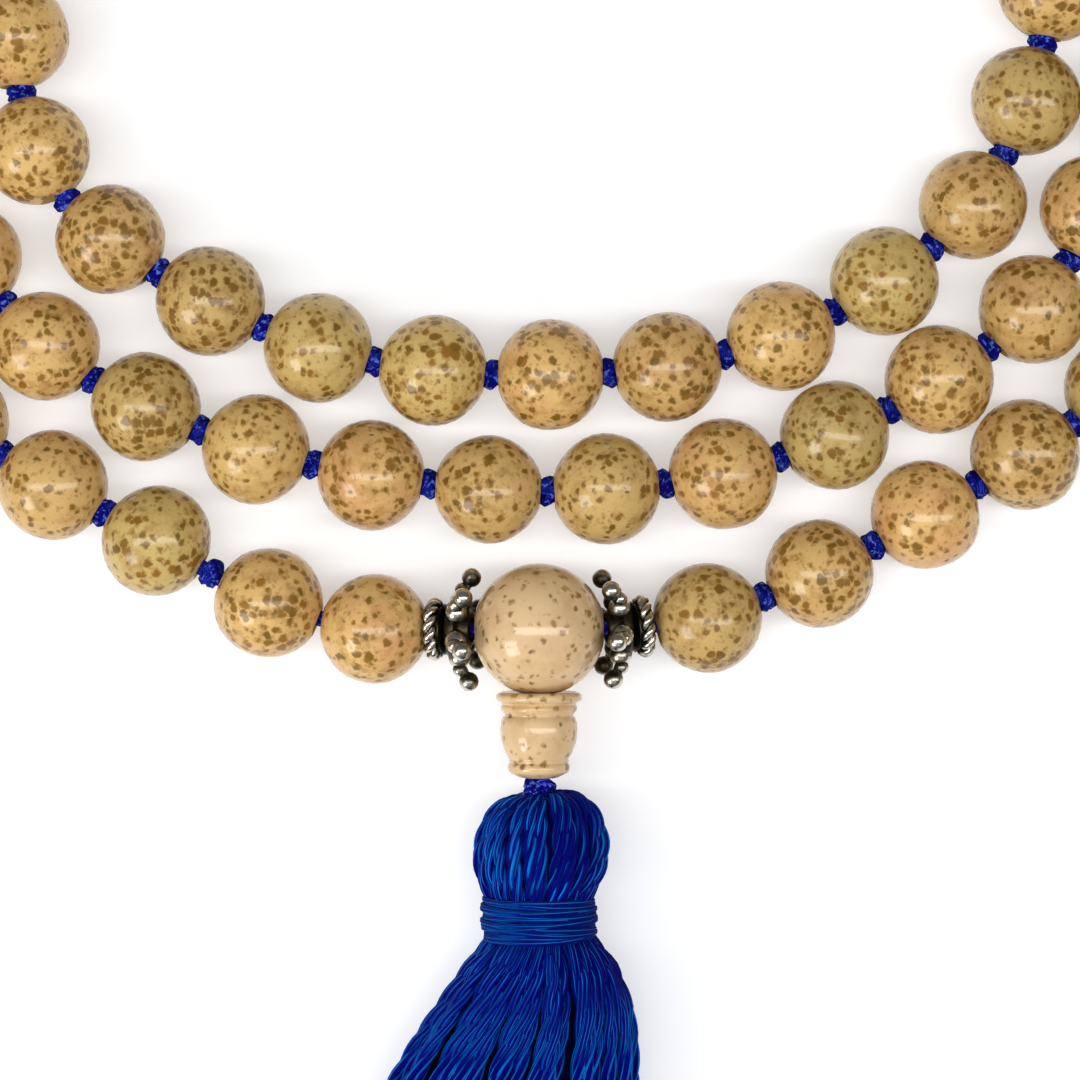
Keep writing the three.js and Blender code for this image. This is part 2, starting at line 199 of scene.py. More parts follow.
class Line:
    """A smooth line through points, measured along its length."""

    def __init__(self, points, steps=STEPS_PER_POINT):
        self.points = [Vector(p) for p in points]
        self.steps = steps
        samples = [self.at_place(i / steps) for i in range(steps * (len(points) - 1) + 1)]
        self.lengths = [0.0]
        for a, b in zip(samples, samples[1:]):
            self.lengths.append(self.lengths[-1] + (b - a).length)
        self.length = self.lengths[-1]

    def at_place(self, where):
        """The point at a number of point intervals along, on a centripetal Catmull-Rom curve."""
        points = self.points
        k = max(0, min(int(where), len(points) - 2))
        share = where - k
        p1, p2 = points[k], points[k + 1]
        p0 = points[k - 1] if k > 0 else 2 * p1 - p2
        p3 = points[k + 2] if k + 2 < len(points) else 2 * p2 - p1
        d0, d1, d2 = (max((b - a).length, 1e-6) ** 0.5 for a, b in ((p0, p1), (p1, p2), (p2, p3)))
        leave = ((p1 - p0) / d0 - (p2 - p0) / (d0 + d1) + (p2 - p1) / d1) * d1
        arrive = ((p2 - p1) / d1 - (p3 - p1) / (d1 + d2) + (p3 - p2) / d2) * d1
        bend = 3 * (p2 - p1) - 2 * leave - arrive
        turn = 2 * (p1 - p2) + leave + arrive
        return p1 + leave * share + bend * share**2 + turn * share**3

    def place_of(self, along):
        along = max(0.0, min(along, self.length))
        low = int(np.searchsorted(self.lengths, along, side="right")) - 1
        low = min(low, len(self.lengths) - 2)
        share = (along - self.lengths[low]) / (self.lengths[low + 1] - self.lengths[low])
        return (low + share) / self.steps

    def at(self, along):
        return self.at_place(self.place_of(along))

    def direction(self, along):
        last = len(self.points) - 1
        where = self.place_of(along)
        small = 0.002
        ahead = self.at_place(min(where + small, last))
        behind = self.at_place(max(where - small, 0))
        return (ahead - behind).normalized()

    def frame(self, along):
        """The string's own axes at a length along it: sideways, along and down, in millimetres."""
        forward = self.direction(along)
        side = forward.cross(Vector((0, 0, -1))).normalized()
        down = side.cross(forward)
        axes = Matrix((side, forward, down)).transposed().to_4x4()
        return Matrix.Translation(self.at(along)) @ axes

    def evenly(self, spacing):
        """Points at even steps along the line."""
        count = max(2, round(self.length / spacing))
        return [self.at(self.length * i / count) for i in range(count + 1)]


def lay_out_string():
    points = [(0, 0, GURU_Z)]
    ends = [0]
    for _, _, stretch_points in STRETCHES:
        points.extend(stretch_points)
        ends.append(len(points) - 1)
    line = Line(points)
    places = {}
    for i, (name, bead_count, _) in enumerate(STRETCHES):
        start, end = (line.lengths[STEPS_PER_POINT * e] for e in ends[i : i + 2])
        pitch = (end - start) / max(bead_count, 1)
        places[name] = {
            "beads": [start + pitch * (k + 0.5) for k in range(bead_count)],
            "knots": [start + pitch * k for k in range(bead_count + 1)],
        }
    part_touching_pair(places["front_left"])
    return line, places


def part_touching_pair(beside_cap):
    """The two beads beside the left cap touch, with no knot between them."""
    first = beside_cap["beads"][0]
    start, end = beside_cap["knots"][0], beside_cap["knots"][-1]
    last = end - LAST_BEAD_TO_RING
    following = last - TOUCHING_PITCH
    beside_cap["beads"] = [first, following, last]
    beside_cap["knots"] = [start, (first + following) / 2, (following + last) / 2, end]


STRING, STRETCH = lay_out_string()
TO_MODEL = Matrix.Translation(GURU) @ Matrix.Scale(MM, 4) @ Matrix.Translation((0, 0, -GURU_Z))


def pendant_frame(y):
    """Axes of what hangs below the guru bead, at a place on its middle line."""
    return Matrix.Translation((0, y, GURU_Z))


# ---------------------------------------------------------------- sizes and colours to change


def srgb(red, green, blue):
    """A colour from its 0 to 255 values, as the linear values that shaders use."""
    shares = [c / 255 for c in (red, green, blue)]
    return tuple(((c + 0.055) / 1.055) ** 2.4 if c > 0.04045 else c / 12.92 for c in shares)


def colour_property(name, description, default):
    return bpy.props.FloatVectorProperty(
        name=name, description=description, default=default, min=0, max=1, subtype="COLOR"
    )


def length_property(name, description, default):
    return bpy.props.FloatProperty(
        name=name, description=description, default=default, min=0, precision=5, subtype="DISTANCE"
    )


class MalaSizes(bpy.types.PropertyGroup):
    """Sizes of the mala's pieces."""

    bead: length_property("Bead", "Diameter of a seed bead", PLAIN_BEAD_DIAMETER)
    guru: length_property("Guru Bead", "Diameter of the guru bead", GURU_DIAMETER)
    cord: length_property("Cord", "Diameter of the stringing cord", 2 * CORD_R * MM)
    knot: length_property("Knot", "Width of a knot between two beads", 2.5 * MM)
    ball: length_property("Silver Ball", "Diameter of the balls at the tips of a star cap", 1.5 * MM)
    yarn: length_property("Yarn", "Diameter of the tassel's yarn", 1.32 * MM)
    skirt_yarns: bpy.props.IntProperty(
        name="Skirt Yarns", description="Yarns in the outer layer of the skirt", default=42, min=12
    )


class MalaColours(bpy.types.PropertyGroup):
    """Colours of the mala's finishes."""

    seed: colour_property("Seed", "Ground colour of the seed beads", srgb(216, 181, 121))
    seed_warm: colour_property("Seed Blush", "Pinker tone that some beads take", srgb(207, 161, 114))
    seed_olive: colour_property("Seed Olive", "Greener tone that other beads take", srgb(202, 179, 118))
    dots: colour_property("Dots", "Colour of the seeds' dots", srgb(108, 80, 4))
    pale_seed: colour_property("Pale Seed", "Ground colour of the guru bead and tower", srgb(220, 194, 158))
    silver: colour_property("Silver", "Colour of the polished silver", srgb(206, 200, 186))
    cord: colour_property("Cord", "Colour of the stringing cord", srgb(26, 36, 196))
    yarn: colour_property("Yarn", "Colour of the tassel's yarn", srgb(0, 34, 126))


# ---------------------------------------------------------------- shader maths


class Value:
    """A socket that can be used in a sum; each operator adds its Math node."""

    def __init__(self, finish, socket):
        self.finish = finish
        self.socket = socket

    def math(self, operation, *others, swap=False):
        terms = [self, *others]
        if swap:
            terms.reverse()
        return self.finish.node("Math", {"operation": operation}, dict(enumerate(terms)))

    def __add__(self, other):
        return self.math("ADD", other)

    __radd__ = __add__

    def __mul__(self, other):
        return self.math("MULTIPLY", other)

    __rmul__ = __mul__

    def __sub__(self, other):
        return self.math("SUBTRACT", other)

    def __rsub__(self, other):
        return self.math("SUBTRACT", other, swap=True)


class Finish:
    """A material under construction."""

    def __init__(self, name, **plain):
        self.material = bpy.data.materials.new(name)
        self.material.use_nodes = True
        self.tree = self.material.node_tree
        self.shader = self.tree.nodes["Principled BSDF"]
        self.set(**plain)

    def node(self, kind, settings=None, inputs=None, output=0):
        """Adds a node: its settings first, then the values or links of its sockets."""
        made = self.tree.nodes.new("ShaderNode" + kind)
        for name, value in (settings or {}).items():
            setattr(made, name, value)
        for name, value in (inputs or {}).items():
            self.feed(made.inputs[name], value)
        return Value(self, made.outputs[output])

    def feed(self, socket, value):
        if isinstance(value, Value):
            self.tree.links.new(value.socket, socket)
        else:
            socket.default_value = value

    def set(self, **inputs):
        """Feeds the shader's own sockets, named in small letters, and returns the material."""
        sockets = {socket.name.lower().replace(" ", "_"): socket for socket in self.shader.inputs}
        for name, value in inputs.items():
            self.feed(sockets[name], value)
        return self.material

    def place(self, scale=(1, 1, 1)):
        """Object coordinates in millimetres, drawn out by a scale."""
        coordinates = self.node("TexCoord", output="Object")
        return self.node("Mapping", None, {"Vector": coordinates, "Scale": [s / MM for s in scale]})

    def noise(self, where, scale, detail=2.0, roughness=0.5, output="Fac"):
        inputs = {"Vector": where, "Scale": scale, "Detail": detail, "Roughness": roughness}
        return self.node("TexNoise", None, inputs, output)

    def ramp(self, value, low, high, start=0.0, end=1.0):
        """Start where value is at low, end where it is at high, and a smooth change between."""
        inputs = {"Value": value, "From Min": low, "From Max": high, "To Min": start, "To Max": end}
        return self.node("MapRange", {"interpolation_type": "SMOOTHSTEP"}, inputs)

    def mix(self, share, first, second, blend_type="MIX"):
        """A colour between two colours."""
        ends = [c if isinstance(c, Value) else (*c, 1) for c in (first, second)]
        settings = {"data_type": "RGBA", "blend_type": blend_type}
        return self.node("Mix", settings, {0: share, 6: ends[0], 7: ends[1]}, 2)

    def attribute(self, name, output="Fac"):
        return self.node("Attribute", {"attribute_name": name}, None, output)

    def parts(self, vector):
        """The three numbers of a vector."""
        split = self.node("SeparateXYZ", None, {"Vector": vector})
        return [Value(self, socket) for socket in split.socket.node.outputs]

    def vector(self, x=0.0, y=0.0, z=0.0):
        return self.node("CombineXYZ", None, {"X": x, "Y": y, "Z": z})

    def bump(self, height, strength, distance, normal=None):
        inputs = {"Height": height, "Strength": strength, "Distance": distance * MM}
        if normal is not None:
            inputs["Normal"] = normal
        return self.node("Bump", None, inputs)


def dots(finish, where, per_mm, smallest, largest, shown=None, edge=0.12):
    """A mask of small soft dots and a random number for each. Sizes are shares of a dot's own cell."""
    wobble = finish.noise(where, 1.3, 3.0, 0.6, "Color")
    moved = finish.node("VectorMath", {"operation": "MULTIPLY_ADD"}, {0: wobble, 1: (0.85,) * 3, 2: where})
    settings = {"feature": "SMOOTH_F1"}
    inputs = {"Vector": moved, "Scale": per_mm, "Randomness": 1.0, "Smoothness": 0.12}
    cells = finish.node("TexVoronoi", settings, inputs, "Distance")
    colour = Value(finish, cells.socket.node.outputs["Color"])
    chance, kind, _ = finish.parts(colour)
    radius = smallest + chance * (largest - smallest)
    if shown is not None:
        radius = radius * shown
    return finish.ramp(cells - radius, -edge, edge, 1.0, 0.0), kind


def seed_finish(colours):
    """Polished dotted seed, tan to pinkish brown, each bead a little different."""
    finish = Finish("dotted_seed", coat_weight=0.5, coat_roughness=0.09, coat_ior=1.4)
    finish.set(specular_ior_level=0.25, coat_tint=(0.9, 0.8, 0.6, 1))
    where = finish.place()
    lightness, warmth, speckle = finish.parts(finish.attribute("tone", "Vector"))
    cloud = finish.noise(where, 0.3, 3.0, 0.6)
    blush = finish.ramp(cloud + warmth * 0.3, 0.5, 0.85)
    ground = finish.mix(blush, colours.seed, colours.seed_warm)
    ground = finish.mix(finish.ramp(warmth, -0.1, -0.5), ground, colours.seed_olive)
    stain = finish.ramp(finish.noise(where, 0.7, 4.0, 0.62), 0.46, 0.72)
    ground = finish.mix(stain * 0.5, ground, srgb(140, 96, 28))
    pale = finish.ramp(finish.noise(where, 0.6, 2.0), 0.56, 0.76)
    ground = finish.mix(pale * 0.35, ground, srgb(218, 186, 116))
    gathered = finish.ramp(finish.noise(where, 0.42, 2.0, 0.5), 0.32, 0.66, 0.75, 1.2)
    mask, kind = dots(finish, where, 1.22, 0.25, 0.48, speckle * gathered, 0.15)
    fine, _ = dots(finish, finish.place((1.01, 0.98, 1.03)), 2.1, 0.1, 0.42, speckle * gathered)
    dot_colour = finish.mix(kind, colours.dots, srgb(142, 98, 26))
    surface = finish.mix(fine * 0.4, ground, dot_colour)
    surface = finish.mix(mask * 0.92, surface, dot_colour)
    grain = finish.noise(where, 7.0, 3.0, 0.7)
    shade = lightness * (0.86 + grain * 0.28)
    surface = finish.mix(1.0, surface, finish.vector(shade, shade, shade), "MULTIPLY")
    dents = finish.noise(where, 1.1, 3.0, 0.5)
    normal = finish.bump(mask, 0.2, -0.02, finish.bump(dents, 0.35, 0.1))
    rough = 0.22 + mask * 0.14 + grain * 0.08
    return finish.set(base_color=surface, roughness=rough, normal=normal)


def pale_finish(colours):
    """Polished pale seed with sparse dots."""
    finish = Finish("pale_seed", coat_weight=0.6, coat_roughness=0.07, coat_ior=1.4)
    finish.set(specular_ior_level=0.25, coat_tint=(0.9, 0.8, 0.6, 1))
    where = finish.place()
    cloud = finish.ramp(finish.noise(where, 0.3, 3.0, 0.55), 0.4, 0.7)
    ground = finish.mix(cloud * 0.7, colours.pale_seed, srgb(206, 174, 140))
    stain = finish.ramp(finish.noise(where, 0.5, 4.0, 0.6), 0.5, 0.75)
    ground = finish.mix(stain * 0.35, ground, srgb(176, 134, 66))
    mask, kind = dots(finish, where, 1.25, 0.1, 0.4, edge=0.13)
    dot_colour = finish.mix(kind, srgb(98, 72, 10), srgb(160, 122, 60))
    veins = finish.ramp(finish.noise(finish.place((1.0, 0.4, 1.0)), 2.2, 4.0, 0.6), 0.58, 0.8)
    surface = finish.mix(veins * 0.25, ground, srgb(170, 132, 70))
    surface = finish.mix(mask * 0.85, surface, dot_colour)
    dents = finish.noise(where, 0.9, 3.0, 0.5)
    normal = finish.bump(dents, 0.25, 0.08)
    return finish.set(base_color=surface, roughness=0.2 + mask * 0.15, normal=normal)


def silver_finish(colours):
    """Old silver: rubbed bright where it stands proud, oxidised where it doesn't."""
    finish = Finish("old_silver", metallic=1.0)
    where = finish.place()
    tarnish = finish.noise(where, 2.6, 4.0, 0.65)
    worn = finish.ramp(finish.attribute("worn") + tarnish * 0.5, 0.62, 1.15)
    oxidised = finish.mix(tarnish, srgb(34, 29, 20), srgb(74, 67, 52))
    surface = finish.mix(worn, oxidised, colours.silver)
    scratches = finish.noise(finish.place((1, 6, 1)), 9.0, 3.0, 0.6)
    return finish.set(
        base_color=surface,
        roughness=0.36 - worn * 0.16,
        normal=finish.bump(scratches, 0.15, 0.03),
    )


def thread_finish(name, colour, light, dark, fibres_per_mm, slant, plait=None, painted_glints=0.0):
    """Twisted or plaited thread, with its fibres running along each tube's own UV map; painted highlights,
    glints and shade are in its colour.
    """
    finish = Finish(name, specular_ior_level=0.04)
    uv = finish.node("UVMap", {"uv_map": "UVMap"})
    around, along, _ = finish.parts(uv)
    tone = finish.attribute("tone")
    depth = finish.attribute("depth")
    across = around + along * slant
    strands = finish.noise(finish.vector(across * fibres_per_mm, along * 0.5, tone * 40.0), 1.0, 2.0, 0.6)
    height = strands
    # Fibre streaks painted light and dark: painted highlights on some fibres, painted shade on others.
    lit = finish.ramp(strands, 0.44, 0.7)
    # Where a plaited strand passes under another, it is painted in shade.
    if plait:
        to_right = (around * plait + along * plait * 0.9).math("SINE")
        to_left = (around * plait - along * plait * 0.9).math("SINE")
        over = to_right * to_left * 0.5 + 0.5
        height = over * 0.8 + strands * 0.35
        lit = lit * finish.ramp(over, 0.2, 0.8)
    surface = finish.mix(finish.ramp(lit, 0.0, 0.5), dark, colour)
    surface = finish.mix(finish.ramp(lit, 0.45, 1.0), surface, light)
    # Painted glints: small specks of the light colour, standing in for light catching the cord's fibres.
    if painted_glints:
        glint_mask = finish.ramp(finish.noise(finish.place(), 2.6, 2.0, 0.6), 0.54, 0.66)
        surface = finish.mix(glint_mask * painted_glints, surface, light)
    # Painted shade: darker deep in a bundle, in the crevices between yarns and on yarns under the outer
    # layer.
    surface = finish.mix(finish.ramp(depth, 0.22, 0.75) * 0.92, surface, dark)
    shade = (0.84 + tone * 0.3) * finish.ramp(depth, 0.45, 1.0, 1.0, 0.3)
    surface = finish.mix(1.0, surface, finish.vector(shade, shade, shade), "MULTIPLY")
    return finish.set(base_color=surface, roughness=0.7, normal=finish.bump(height, 0.6, 0.12))


FINISHES = {}


def make_finishes(colours):
    FINISHES["seed"] = seed_finish(colours)
    FINISHES["pale_seed"] = pale_finish(colours)
    FINISHES["silver"] = silver_finish(colours)
    # light is the colour of the threads' painted highlights and glints, dark that of their painted shade.
    FINISHES["blue_cord"] = thread_finish(
        "braided_cord", tuple(colours.cord), light=srgb(104, 138, 255), dark=srgb(8, 8, 120),
        fibres_per_mm=5, slant=0.6, plait=6.0, painted_glints=0.8,
    )
    FINISHES["blue_yarn"] = thread_finish(
        "twisted_yarn", tuple(colours.yarn), light=srgb(0, 118, 200), dark=srgb(0, 0, 92),
        fibres_per_mm=3.4, slant=0.35,
    )


# ---------------------------------------------------------------- making pieces


def finish_piece(name, mesh, body, slot, *replaced):
    """Puts a finished mesh on its body, with its finish and the solids it stands for."""
    piece = bpy.data.objects.new(name, mesh)
    bpy.context.scene.collection.objects.link(piece)
    mesh.materials.append(FINISHES[slot])
    if body:
        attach(piece, body)
    if replaced:
        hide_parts(*replaced)
    return piece


def move(shape, matrix):
    bmesh.ops.transform(shape, verts=shape.verts, matrix=matrix)


def add_attribute(mesh, name, values, kind="FLOAT", domain="POINT"):
    """Keeps a number, or a vector, with each point or face of a mesh."""
    field = "vector" if kind == "FLOAT_VECTOR" else "value"
    mesh.attributes.new(name, kind, domain).data.foreach_set(field, values)


def mesh_of(name, shape, sharp_above=math.radians(50)):
    """A smooth-shaded mesh from a bmesh, with its sharp corners kept."""
    for face in shape.faces:
        face.smooth = True
    for edge in shape.edges:
        if len(edge.link_faces) == 2:
            edge.smooth = edge.calc_face_angle() < sharp_above
    mesh = bpy.data.meshes.new(name)
    shape.to_mesh(mesh)
    shape.free()
    return mesh


def put(name, shape, at, body, slot, solid, sharp_above=math.radians(50)):
    """Moves a shape to its place and makes it a piece that stands for a solid."""
    move(shape, TO_MODEL @ at)
    bmesh.ops.recalc_face_normals(shape, faces=shape.faces)
    finish_piece(name, mesh_of(name, shape, sharp_above), body, slot, solid)


def turned(profile, sides):
    """A closed outline of (radius, offset) points, turned about the Y axis."""
    shape = bmesh.new()
    ring = [shape.verts.new((radius, offset, 0)) for radius, offset in profile]
    edges = [shape.edges.new((a, b)) for a, b in zip(ring, ring[1:])]
    if profile[0][0] > 0 or profile[-1][0] > 0:
        edges.append(shape.edges.new((ring[-1], ring[0])))
    bmesh.ops.spin(
        shape, geom=ring + edges, cent=(0, 0, 0), axis=(0, 1, 0), angle=FULL_TURN, steps=sides, use_merge=True
    )
    bmesh.ops.remove_doubles(shape, verts=shape.verts, dist=1e-5)
    bmesh.ops.recalc_face_normals(shape, faces=shape.faces)
    return shape


def arc(radius, start, end, count, middle=(0.0, 0.0)):
    """Points of a round stretch of an outline, at angles in degrees from the radius towards +Y."""
    points = []
    for i in range(count + 1):
        angle = math.radians(start + (end - start) * i / count)
        points.append((middle[0] + radius * math.cos(angle), middle[1] + radius * math.sin(angle)))
    return points


def ball_outline(radius, bore, bands):
    """A drilled ball: its round outside, softened mouths and the bore."""
    mouth_width, lip_width, lip_depth, fade = 0.28, 0.06, 0.14, 0.25
    last = math.degrees(math.acos((bore + mouth_width) / radius))
    outside = arc(radius, -last, last, bands)
    lip = outside[-1][1] - lip_depth
    far_mouth = [(bore + lip_width, lip), (bore, lip - fade)]
    near_mouth = [(bore, fade - lip), (bore + lip_width, -lip)]
    return [*outside, *far_mouth, (bore, 0), *near_mouth]


def tubes(name, lines, sides=6, middles=()):
    """One mesh of round tubes. Each line has its points, its radii and whether it closes.

    The UV map counts millimetres round and along each tube, and "tone" is a random number for each.
    "depth" goes from 0 to 1 as the surface turns away from the outside of a bundle, and the thread finish
    paints shade by it.
    The middles give the points of a bundle's yarns, each with the way out from it and how deep it lies.
    """
    curve = bpy.data.curves.new(name, "CURVE")
    curve.dimensions = "3D"
    curve.bevel_depth = 1.0
    curve.bevel_resolution = (sides - 4) // 2
    curve.use_fill_caps = True
    chance = random.Random(name)
    measures = [(*add_spline(curve, number, *line), chance.random()) for number, line in enumerate(lines)]
    mesh = mesh_from_curve(name, curve)
    measure_tubes(mesh, np.array(measures))
    shape = bmesh.new()
    shape.from_mesh(mesh)
    bmesh.ops.remove_doubles(shape, verts=shape.verts, dist=1e-5)
    bpy.data.meshes.remove(mesh)
    mesh = mesh_of(name, shape)
    if middles:
        mark_depth(mesh, middles)
    mesh.transform(TO_MODEL)
    return mesh


def add_spline(curve, number, points, radii, closes):
    """Adds the line of one tube to a curve, and gives the tube's lengths round and along."""
    spline = curve.splines.new("POLY")
    spline.points.add(len(points) - 1)
    places = np.ones((len(points), 4))
    places[:, :3] = [tuple(p) for p in points]
    spline.points.foreach_set("co", places.ravel())
    if not hasattr(radii, "__len__"):
        radii = [radii] * len(points)
    spline.points.foreach_set("radius", radii)
    spline.use_cyclic_u = closes
    spline.material_index = number
    steps = np.diff(places[:, :3], axis=0)
    return FULL_TURN * float(np.mean(radii)), float(np.linalg.norm(steps, axis=1).sum())


def mesh_from_curve(name, curve):
    holder = bpy.data.objects.new(name, curve)
    bpy.context.scene.collection.objects.link(holder)
    graph = bpy.context.evaluated_depsgraph_get()
    mesh = bpy.data.meshes.new_from_object(holder.evaluated_get(graph))
    bpy.data.objects.remove(holder)
    bpy.data.curves.remove(curve)
    return mesh


def measure_tubes(mesh, measures):
    """Makes the UV map count millimetres and gives each tube its tone."""
    numbers = np.zeros(len(mesh.polygons), np.int32)
    mesh.polygons.foreach_get("material_index", numbers)
    corners = np.zeros(len(mesh.polygons), np.int32)
    mesh.polygons.foreach_get("loop_total", corners)
    uv = np.zeros(len(mesh.loops) * 2)
    layer = mesh.uv_layers["UVMap"].data
    layer.foreach_get("uv", uv)
    uv = uv.reshape(-1, 2) * measures[np.repeat(numbers, corners), :2]
    layer.foreach_set("uv", uv.ravel())
    add_attribute(mesh, "tone", measures[numbers, 2].astype(np.float32), domain="FACE")
    mesh.polygons.foreach_set("material_index", np.zeros(len(numbers), np.int32))


def mark_depth(mesh, middles):
    """Keeps with each point how deep it lies under the outside of its bundle, by which the thread finish
    paints shade.
    """
    near = kdtree.KDTree(len(middles))
    for number, (point, _, _) in enumerate(middles):
        near.insert(point, number)
    near.balance()
    depths = []
    for vert in mesh.vertices:
        _, number, _ = near.find(vert.co)
        point, outward, depth = middles[number]
        depths.append(depth - (vert.co - point).dot(outward))
    add_attribute(mesh, "depth", depths)


def carried_frames(points):
    """Two directions square to the line at each of its points, carried along without twist."""
    places = np.array([tuple(p) for p in points])
    forward = np.gradient(places, axis=0)
    forward /= np.linalg.norm(forward, axis=1)[:, None]
    start = np.cross(forward[0], (0.0, 0.0, 1.0))
    if np.linalg.norm(start) < 0.1:
        start = np.cross(forward[0], (1.0, 0.0, 0.0))
    across = [start / np.linalg.norm(start)]
    for direction in forward[1:]:
        carried = across[-1] - direction * np.dot(across[-1], direction)
        across.append(carried / np.linalg.norm(carried))
    across = np.array(across)
    return places, across, np.cross(forward, across)


def plied(points, radii, pitch, plies=2, phase=0.0):
    """Twisted plies along a line of evenly spaced points: one tube for each ply."""
    places, across, up = carried_frames(points)
    if not hasattr(radii, "__len__"):
        radii = [radii] * len(points)
    radii = np.array(radii)
    gone = np.concatenate([[0.0], np.cumsum(np.linalg.norm(np.diff(places, axis=0), axis=1))])
    lines = []
    share = 0.46 if plies > 2 else 0.38
    for ply in range(plies):
        angle = phase + FULL_TURN * (gone / pitch + ply / plies)
        out = across * np.cos(angle)[:, None] + up * np.sin(angle)[:, None]
        lines.append((places + out * (radii * share)[:, None], radii * (1 - share), False))
    return lines


def knot_lines(at, size, turn=0.0):
    """The cord's path through a small round knot about a frame's Y axis."""
    lobes, winds, steps = 3, 2, 42
    cord, swing, width = size * 0.185, size * 0.09, size * 0.13
    points = []
    for i in range(steps):
        t = FULL_TURN * i / steps
        reach = size / 2 - cord - swing + swing * math.cos(lobes * t)
        spread = width * math.sin(lobes * t)
        angle = winds * t + turn
        points.append(at @ Vector((reach * math.cos(angle), spread, reach * math.sin(angle))))
    return [(points, cord, True)]


# ---------------------------------------------------------------- seed beads

# Least and most of a bead's size across, along and up from the string
BEAD_SWELL = ((0.98, 1.02), (0.975, 0.995), (0.98, 1.02))
# Least and most of its lightness, its warmth and its share of dots
BEAD_TONE = ((0.8, 1.04), (-0.5, 0.6), (0.85, 1.12))
BEAD_LUMP = 0.035
LUMPS_PER_MM = 0.33
FULL_BEAD = 1.045


def bead_names(stretch):
    """For each bead of a stretch: the body that it rides on and the solid that it stands for."""
    if stretch in SINGLE_BEADS:
        names = [f"{SINGLE_BEADS[stretch]}_{i + 1:02d}" for i in range(len(STRETCH[stretch]["beads"]))]
        return [(name, name) for name in names]
    solid, body = RUNS[stretch]
    return [(body, solid)] * len(STRETCH[stretch]["beads"])


def settle(shape, height):
    """Flattens the underside of a full bead a little, so that it lies on the surface."""
    below = -min(vert.co.z for vert in shape.verts)
    if below <= 0:
        return
    for vert in shape.verts:
        under = max(0.0, height - vert.co.z)
        vert.co.z += below * (under / (height + below)) ** 2


def make_bead(name, along, diameter, body, solid, chance, fullness):
    radius = diameter / MM / 2
    shape = turned(ball_outline(radius, BORE_R, 14), 32)
    swell = fullness * Vector([chance.uniform(*limits) for limits in BEAD_SWELL])
    own_place = Vector([chance.uniform(-50, 50) for _ in range(3)])
    for vert in shape.verts:
        away = Vector((vert.co.x, 0, vert.co.z)).length / radius
        lump = BEAD_LUMP * away * noise.noise(vert.co * LUMPS_PER_MM + own_place)
        vert.co += vert.co * lump
    bmesh.ops.scale(shape, verts=shape.verts, vec=swell)
    spin = Matrix.Rotation(chance.uniform(0, FULL_TURN), 4, "Y")
    move(shape, TO_MODEL @ STRING.frame(along) @ spin)
    settle(shape, (TO_MODEL @ STRING.at(along)).z)
    mesh = mesh_of(name, shape)
    tone = [chance.uniform(*limits) for limits in BEAD_TONE]
    add_attribute(mesh, "tone", tone * len(mesh.vertices), "FLOAT_VECTOR")
    return finish_piece(name, mesh, body, "seed", solid)


class MALA_OT_seed_beads(bpy.types.Operator):
    """Make the 108 seed beads, each a little out of round and of its own tone"""

    bl_idname = "mala.seed_beads"
    bl_label = "Seed Beads"

    def execute(self, context):
        chance = random.Random(108)
        for stretch, bead_count, _ in STRETCHES:
            if not bead_count:
                continue
            fullness = 1.0 if "back" in stretch or "fold" in stretch else FULL_BEAD
            for i, (body, solid) in enumerate(bead_names(stretch)):
                along = STRETCH[stretch]["beads"][i]
                name = f"seed_{stretch}_{i + 1:02d}"
                make_bead(name, along, context.scene.mala_sizes.bead, body, solid, chance, fullness)
        return {"FINISHED"}


# ---------------------------------------------------------------- stringing cord

TURN_BETWEEN_KNOTS = 1.1


def cord_lines(stretches, knots, cord_radius, knot_size):
    """The cord through the beads of stretches that follow each other, with its knots."""
    stops = [*knots]
    for stretch in stretches:
        for along in STRETCH[stretch]["beads"]:
            stops += [along - MOUTH_AT, along, along + MOUTH_AT]
    stops.sort()
    points = [STRING.at(along) for along in stops]
    lines = [(points, cord_radius, False)]
    for number, along in enumerate(knots):
        lines += knot_lines(STRING.frame(along), knot_size, turn=number * TURN_BETWEEN_KNOTS)
    return lines


